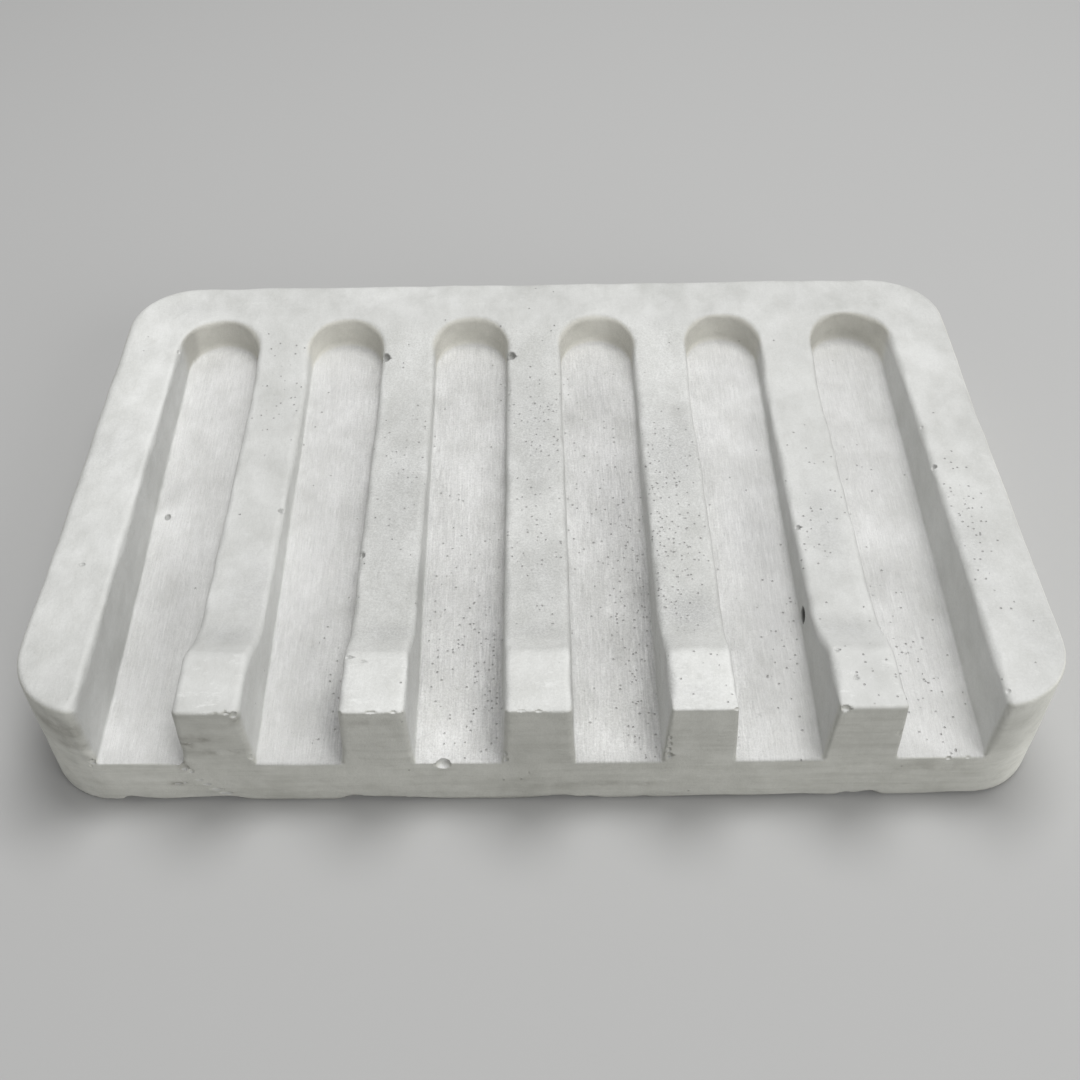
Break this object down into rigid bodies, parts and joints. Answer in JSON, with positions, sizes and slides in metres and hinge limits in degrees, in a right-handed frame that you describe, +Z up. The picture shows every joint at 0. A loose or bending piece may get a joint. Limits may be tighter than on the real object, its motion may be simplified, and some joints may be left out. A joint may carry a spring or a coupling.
{
  "type": "plaster mold",
  "caption": "Low rectangular block of cast plaster with rounded corners and parallel sloping channels, round at the back and open at the front.",
  "frame": {"origin": "middle of the flat base, halfway between the sides and between the front and the back", "axes": "+X to the right along the width, +Y towards the closed back, +Z up out of the channels"},
  "size_m": [0.1308, 0.0899, 0.019],
  "materials": {
    "plaster": "matte cast plaster"
  },
  "bodies": {
    "root": {"mold_block": "plaster"}
  },
  "joints": []
}
